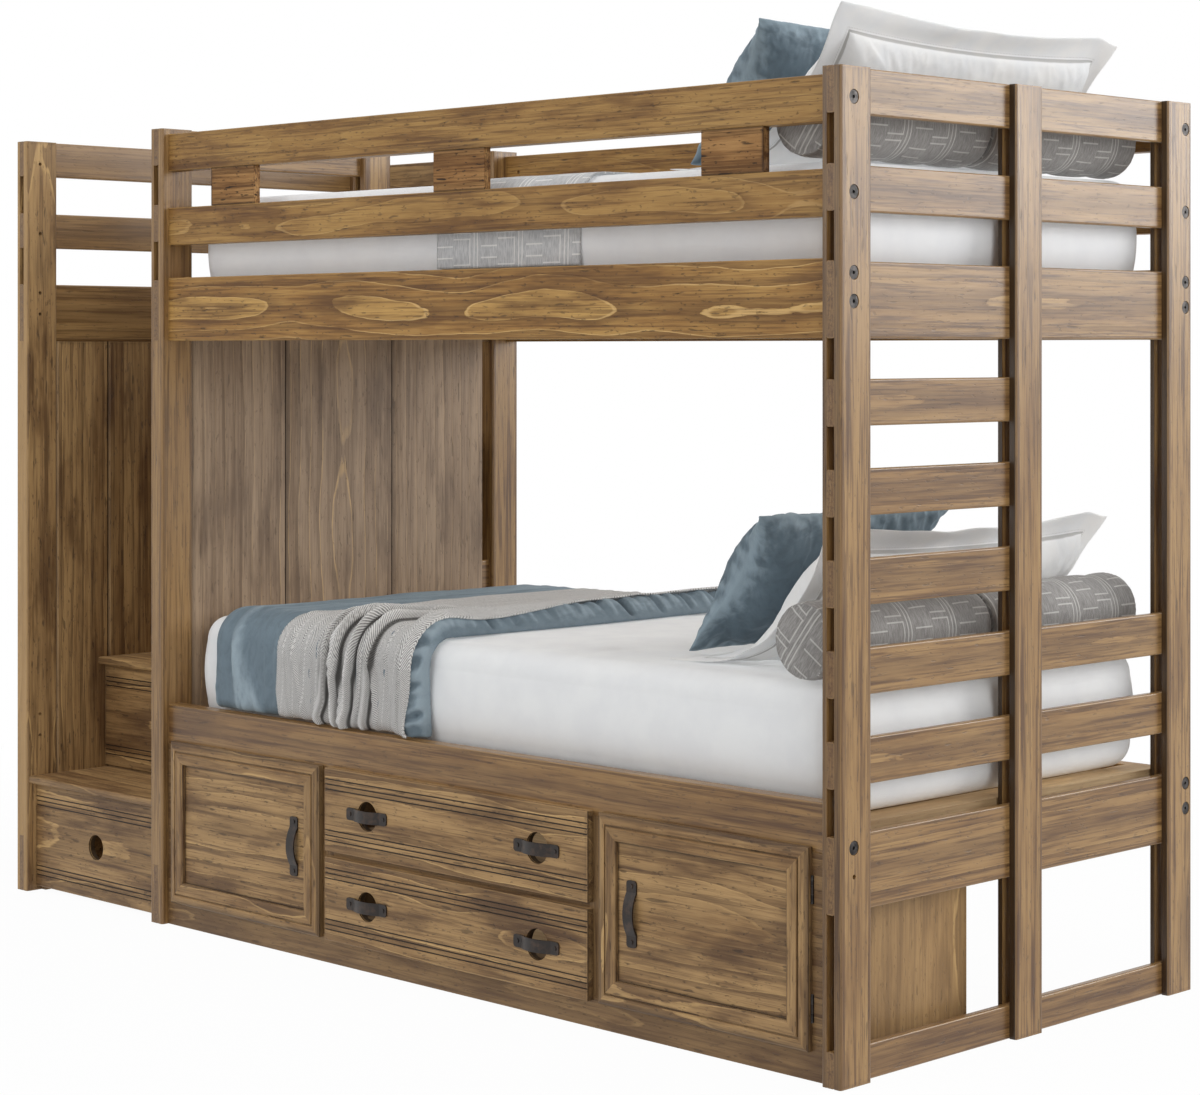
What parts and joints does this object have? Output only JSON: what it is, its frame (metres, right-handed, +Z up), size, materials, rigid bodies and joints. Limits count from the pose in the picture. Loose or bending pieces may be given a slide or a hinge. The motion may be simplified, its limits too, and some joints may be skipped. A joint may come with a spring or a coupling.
{
  "type": "bunk bed with storage stairs",
  "caption": "Wooden bunk bed with storage stairs at one end, a built-in ladder at the other, and a lower bunk over cabinets and drawers, made up with bedding.",
  "frame": {"origin": "middle of the whole footprint, on the floor", "axes": "+X along the bed from the stair end to the ladder end, +Y from the drawer fronts to the back, +Z up"},
  "size_m": [2.547, 1.099, 1.9002],
  "materials": {
    "stained_wood": "stained pine with open grain, satin",
    "plain_wood": "plain pine, matt",
    "dark_strap": "dark bronze, satin",
    "dark_steel": "dark bronze, satin",
    "zinc_steel": "zinc plated",
    "white_cotton": "plain cotton",
    "patterned_cotton": "grey cotton with white dashes",
    "blue_velvet": "velvet",
    "blue_satin": "quilted satin",
    "grey_weave": "woven wool",
    "pale_weave": "woven cotton"
  },
  "bodies": {
    "bed_frame": {"ladder_front_post": "stained_wood", "ladder_middle_post": "stained_wood", "ladder_back_post": "stained_wood", "end_guard_rails": "stained_wood", "end_deep_rails": "stained_wood", "ladder_rungs": "stained_wood", "end_foot_rail": "stained_wood", "bed_stair_front_post": "stained_wood", "entry_post": "stained_wood", "bed_stair_back_post": "stained_wood", "bed_stair_rails": "stained_wood", "bed_wall_boards": "stained_wood", "outer_front_post": "stained_wood", "outer_back_post": "stained_wood", "outer_stair_rails": "stained_wood", "outer_wall_boards": "stained_wood", "stair_back_rails": "stained_wood", "upper_top_rail": "stained_wood", "upper_second_rail": "stained_wood", "upper_deck_rail": "stained_wood", "guard_spacer_blocks": "stained_wood", "bed_back_rails": "stained_wood", "lower_front_rail": "stained_wood", "storage_face_frame": "stained_wood", "stair_treads": "stained_wood", "stair_carcass": "stained_wood", "slat_cleats": "plain_wood", "mattress_slats": "plain_wood", "storage_carcass": "plain_wood", "drawer_runners": "plain_wood", "hinge_frame_leaves": "dark_steel", "connector_bolts": "dark_steel", "barrel_nuts": "zinc_steel", "lower_mattress": "white_cotton", "upper_mattress": "white_cotton", "lower_pillow": "white_cotton", "upper_pillow": "white_cotton", "lower_bolsters": "patterned_cotton", "upper_bolsters": "patterned_cotton", "lower_cushion": "blue_velvet", "upper_cushion": "blue_velvet", "folded_duvet": "blue_satin", "lower_throw": "grey_weave", "upper_throw": "pale_weave"},
    "left_door": {"left_door_frame": "stained_wood", "left_door_panel": "stained_wood", "left_door_hardware": "dark_strap"},
    "right_door": {"right_door_frame": "stained_wood", "right_door_panel": "stained_wood", "right_door_hardware": "dark_strap"},
    "upper_drawer": {"upper_drawer_front": "stained_wood", "upper_drawer_box": "plain_wood", "upper_drawer_pulls": "dark_strap"},
    "lower_drawer": {"lower_drawer_front": "stained_wood", "lower_drawer_box": "plain_wood", "lower_drawer_pulls": "dark_strap"},
    "step_1_drawer": {"step_1_drawer": "stained_wood"},
    "step_2_drawer": {"step_2_drawer": "stained_wood"},
    "step_3_drawer": {"step_3_drawer": "stained_wood"},
    "step_4_drawer": {"step_4_drawer": "stained_wood"}
  },
  "joints": [
    {"name": "left_door_hinge", "type": "hinge", "parent": "bed_frame", "child": "left_door", "pos_m": [-0.6695, -0.5187, 0.231], "axis": [0, 0, -1], "range_deg": [0, 90]},
    {"name": "right_door_hinge", "type": "hinge", "parent": "bed_frame", "child": "right_door", "pos_m": [1.1945, -0.5187, 0.231], "axis": [0, 0, 1], "range_deg": [0, 90]},
    {"name": "upper_drawer_slide", "type": "slide", "parent": "bed_frame", "child": "upper_drawer", "axis": [0, -1, 0], "range_m": [0, 0.32]},
    {"name": "lower_drawer_slide", "type": "slide", "parent": "bed_frame", "child": "lower_drawer", "axis": [0, -1, 0], "range_m": [0, 0.32]},
    {"name": "step_1_slide", "type": "slide", "parent": "bed_frame", "child": "step_1_drawer", "axis": [0, -1, 0], "range_m": [0, 0.3]},
    {"name": "step_2_slide", "type": "slide", "parent": "bed_frame", "child": "step_2_drawer", "axis": [0, -1, 0], "range_m": [0, 0.3]},
    {"name": "step_3_slide", "type": "slide", "parent": "bed_frame", "child": "step_3_drawer", "axis": [0, -1, 0], "range_m": [0, 0.3]},
    {"name": "step_4_slide", "type": "slide", "parent": "bed_frame", "child": "step_4_drawer", "axis": [0, -1, 0], "range_m": [0, 0.3]}
  ]
}
